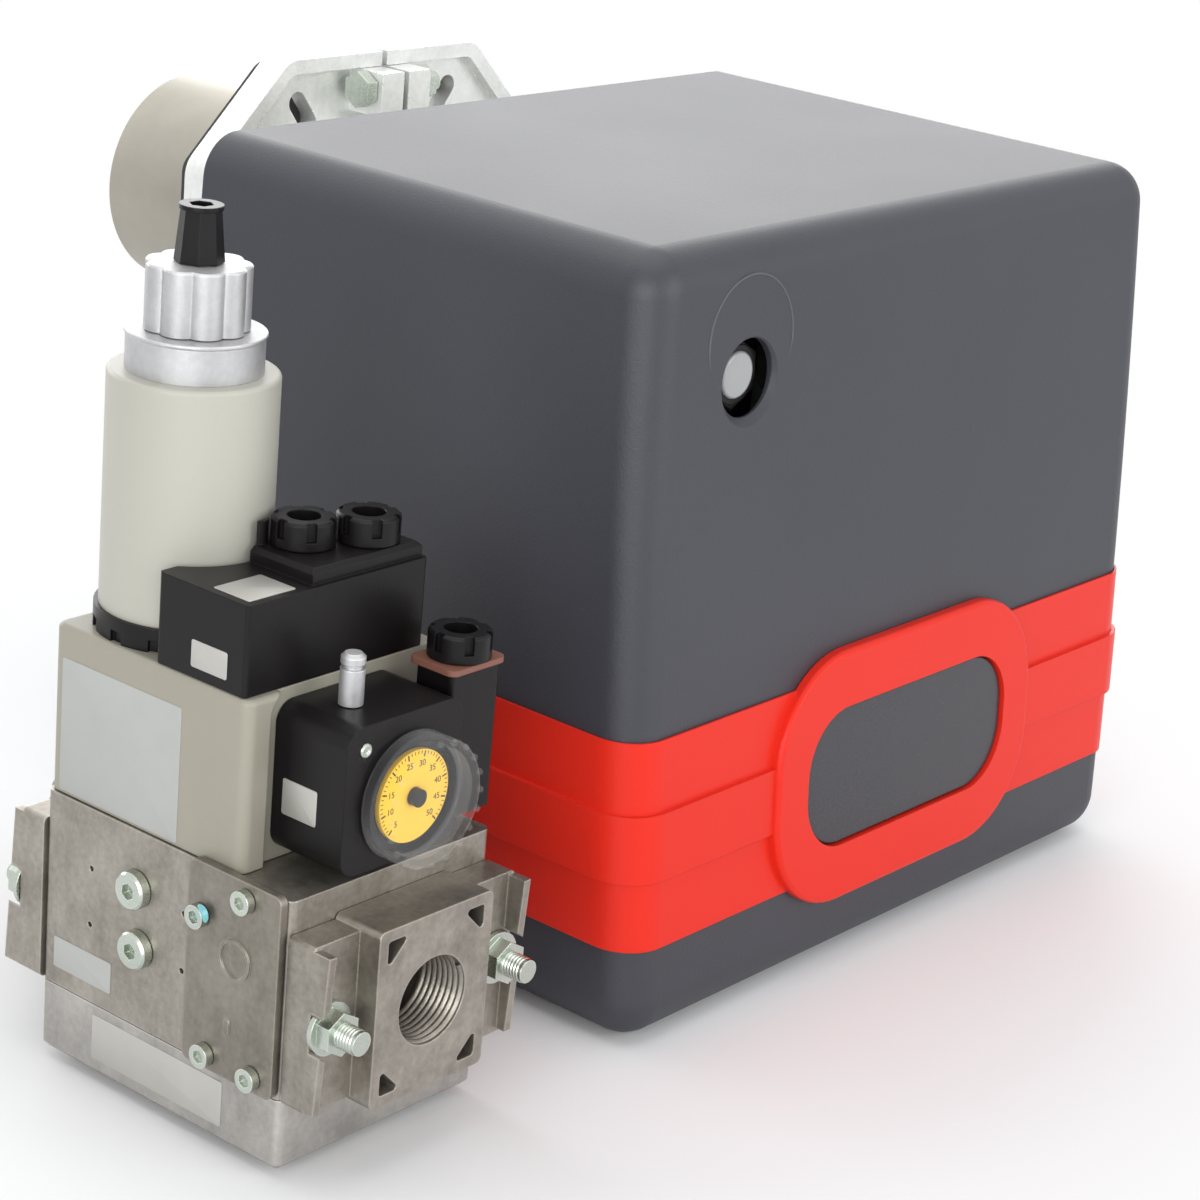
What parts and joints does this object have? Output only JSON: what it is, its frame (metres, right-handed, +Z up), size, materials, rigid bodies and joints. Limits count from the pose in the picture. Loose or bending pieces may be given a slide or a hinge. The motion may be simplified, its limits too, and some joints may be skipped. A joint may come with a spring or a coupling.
{
  "type": "gas burner",
  "caption": "Forced-draught gas burner: boxy hood with a raised band, blast tube on a clamping flange, and a side gas valve with solenoid and pressure switch.",
  "frame": {"origin": "on the blast-tube axis, in the plane of the mounting flange's boiler face", "axes": "+Y along the blast tube into the boiler, +Z up, +X to the right as the operator faces the badge; the gas train stands on the -X side"},
  "size_m": [0.4761, 0.4146, 0.2936],
  "materials": {
    "cover_plastic": "fine-grained dark grey moulded plastic",
    "band_red": "glossy red moulded plastic",
    "badge_black": "glossy dark plate, bare",
    "tube_steel": "satin heat-resistant steel",
    "flange_casting": "bright cast aluminium",
    "zinc_plated": "zinc-plated steel",
    "gasket_black": "dark heat-proof gasket",
    "ceramic_white": "white glazed ceramic",
    "galvanised": "galvanised sheet",
    "machined_steel": "ground steel",
    "motor_grey": "dark grey painted aluminium",
    "black_plastic": "black moulded plastic",
    "button_grey": "clear-grey push button",
    "pipe_steel": "painted steel pipe",
    "valve_casting": "raw die-cast metal",
    "cream_paint": "cream-beige powder coat",
    "can_cream": "light cream moulded solenoid",
    "turned_aluminium": "turned aluminium",
    "dial_yellow": "printed yellow scale disc",
    "clear_window": "clear moulded cover",
    "chrome_metal": "bright turned metal",
    "gasket_brown": "brown sealing gasket"
  },
  "bodies": {
    "flange": {"mounting_flange": "flange_casting", "clamp_bolt": "zinc_plated", "flange_gasket": "gasket_black"},
    "burner": {"air_box": "black_plastic", "air_pressure_switch": "black_plastic", "back_plate": "flange_casting", "blast_tube": "tube_steel", "connector_box": "black_plastic", "connector_glands": "black_plastic", "control_base": "black_plastic", "control_box": "black_plastic", "control_bracket": "galvanised", "damper_ring": "turned_aluminium", "dial_window": "clear_window", "din_connector": "black_plastic", "din_gasket": "gasket_brown", "din_gland": "black_plastic", "fan_housing": "flange_casting", "fan_motor": "motor_grey", "flame_disc": "tube_steel", "gas_nozzle": "tube_steel", "gas_pipe": "pipe_steel", "ignition_electrode": "ceramic_white", "ignition_transformer": "black_plastic", "inlet_flange": "valve_casting", "inlet_studs": "zinc_plated", "ionisation_electrode": "ceramic_white", "motor_capacitor": "black_plastic", "outlet_flange": "valve_casting", "outlet_studs": "zinc_plated", "pressure_switch": "black_plastic", "reset_bezel": "black_plastic", "side_plate_screws": "zinc_plated", "solenoid_can": "can_cream", "solenoid_collar": "black_plastic", "test_nipple": "chrome_metal", "test_plugs": "zinc_plated", "valve_body": "valve_casting", "valve_bottom_cover": "valve_casting", "valve_side_plate": "valve_casting", "valve_upper_housing": "cream_paint"},
    "cover": {"cover_hood": "cover_plastic", "red_band": "band_red", "badge_plate": "badge_black"},
    "fan": {"fan_wheel": "galvanised", "motor_shaft": "machined_steel"},
    "damper": {"air_damper": "galvanised", "damper_lever": "galvanised"},
    "reset": {"reset_button": "button_grey"},
    "flow_adjuster": {"flow_knob": "turned_aluminium"},
    "brake_adjuster": {"brake_cap": "black_plastic"},
    "pressure_setting": {"pressure_dial": "dial_yellow"}
  },
  "joints": [
    {"name": "flange_slide", "type": "slide", "parent": "flange", "child": "burner", "axis": [0, 1, 0], "range_m": [-0.05, 0.003]},
    {"name": "cover_slide", "type": "slide", "parent": "burner", "child": "cover", "axis": [0, -1, 0], "range_m": [0, 0.26]},
    {"name": "fan_spin", "type": "hinge", "parent": "burner", "child": "fan", "pos_m": [0, -0.1761, -0.092], "axis": [1, 0, 0], "continuous": true},
    {"name": "damper_turn", "type": "hinge", "parent": "burner", "child": "damper", "pos_m": [0.0643, -0.1761, -0.1855], "axis": [0, 1, 0], "range_deg": [0, 80]},
    {"name": "reset_press", "type": "slide", "parent": "burner", "child": "reset", "axis": [0, 1, 0], "range_m": [0, 0.0025], "stiffness_N_per_m": 800, "springref_m": -0.001},
    {"name": "flow_turn", "type": "hinge", "parent": "burner", "child": "flow_adjuster", "pos_m": [-0.275, -0.201, 0.041], "axis": [0, 0, 1], "range_deg": [0, 300]},
    {"name": "brake_turn", "type": "hinge", "parent": "burner", "child": "brake_adjuster", "pos_m": [-0.275, -0.201, 0.062], "axis": [0, 0, 1], "range_deg": [0, 300]},
    {"name": "dial_turn", "type": "hinge", "parent": "burner", "child": "pressure_setting", "pos_m": [-0.262, -0.2933, -0.09], "axis": [0, -1, 0], "range_deg": [0, 270]}
  ]
}
